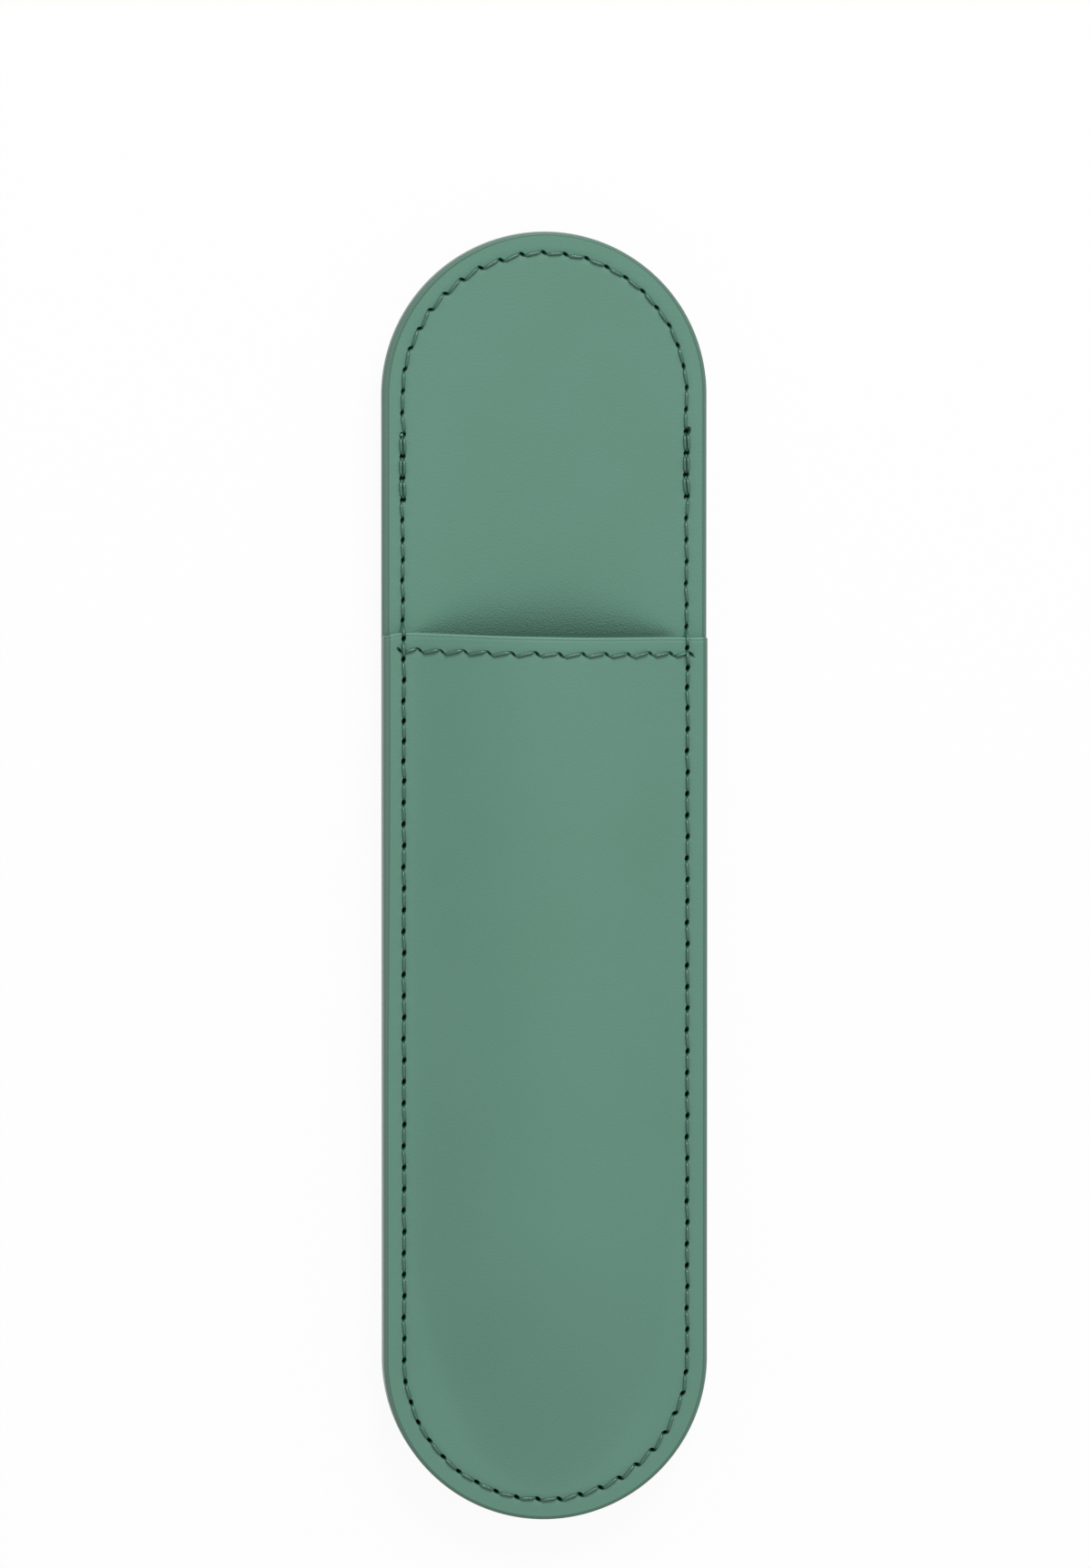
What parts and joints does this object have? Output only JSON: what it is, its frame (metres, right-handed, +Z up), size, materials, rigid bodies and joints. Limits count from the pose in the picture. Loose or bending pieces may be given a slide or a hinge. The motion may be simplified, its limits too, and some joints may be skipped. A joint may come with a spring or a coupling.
{
  "type": "pen sleeve",
  "caption": "Slim round-ended leather sleeve for one pen: a stitched back and inner panel, with a moulded front pocket open at a straight lip.",
  "frame": {"origin": "middle of the sleeve's footprint on the table, at the underside of the pocket", "axes": "+X across the sleeve, +Y along it from the closed lower end to the upper end, +Z up out of the front face"},
  "size_m": [0.04, 0.159, 0.0124],
  "materials": {
    "outer_leather": "smooth matte green calf leather",
    "inner_leather": "smooth matte green calf leather",
    "thread": "waxed twisted polyester thread, darker green"
  },
  "bodies": {
    "root": {"back_panel": "outer_leather", "inner_panel": "inner_leather", "front_panel": "outer_leather", "lower_seam_front_thread": "thread", "lower_seam_back_thread": "thread", "upper_seam_front_thread": "thread", "upper_seam_back_thread": "thread", "mouth_row_front_thread": "thread", "mouth_row_back_thread": "thread"}
  },
  "joints": []
}
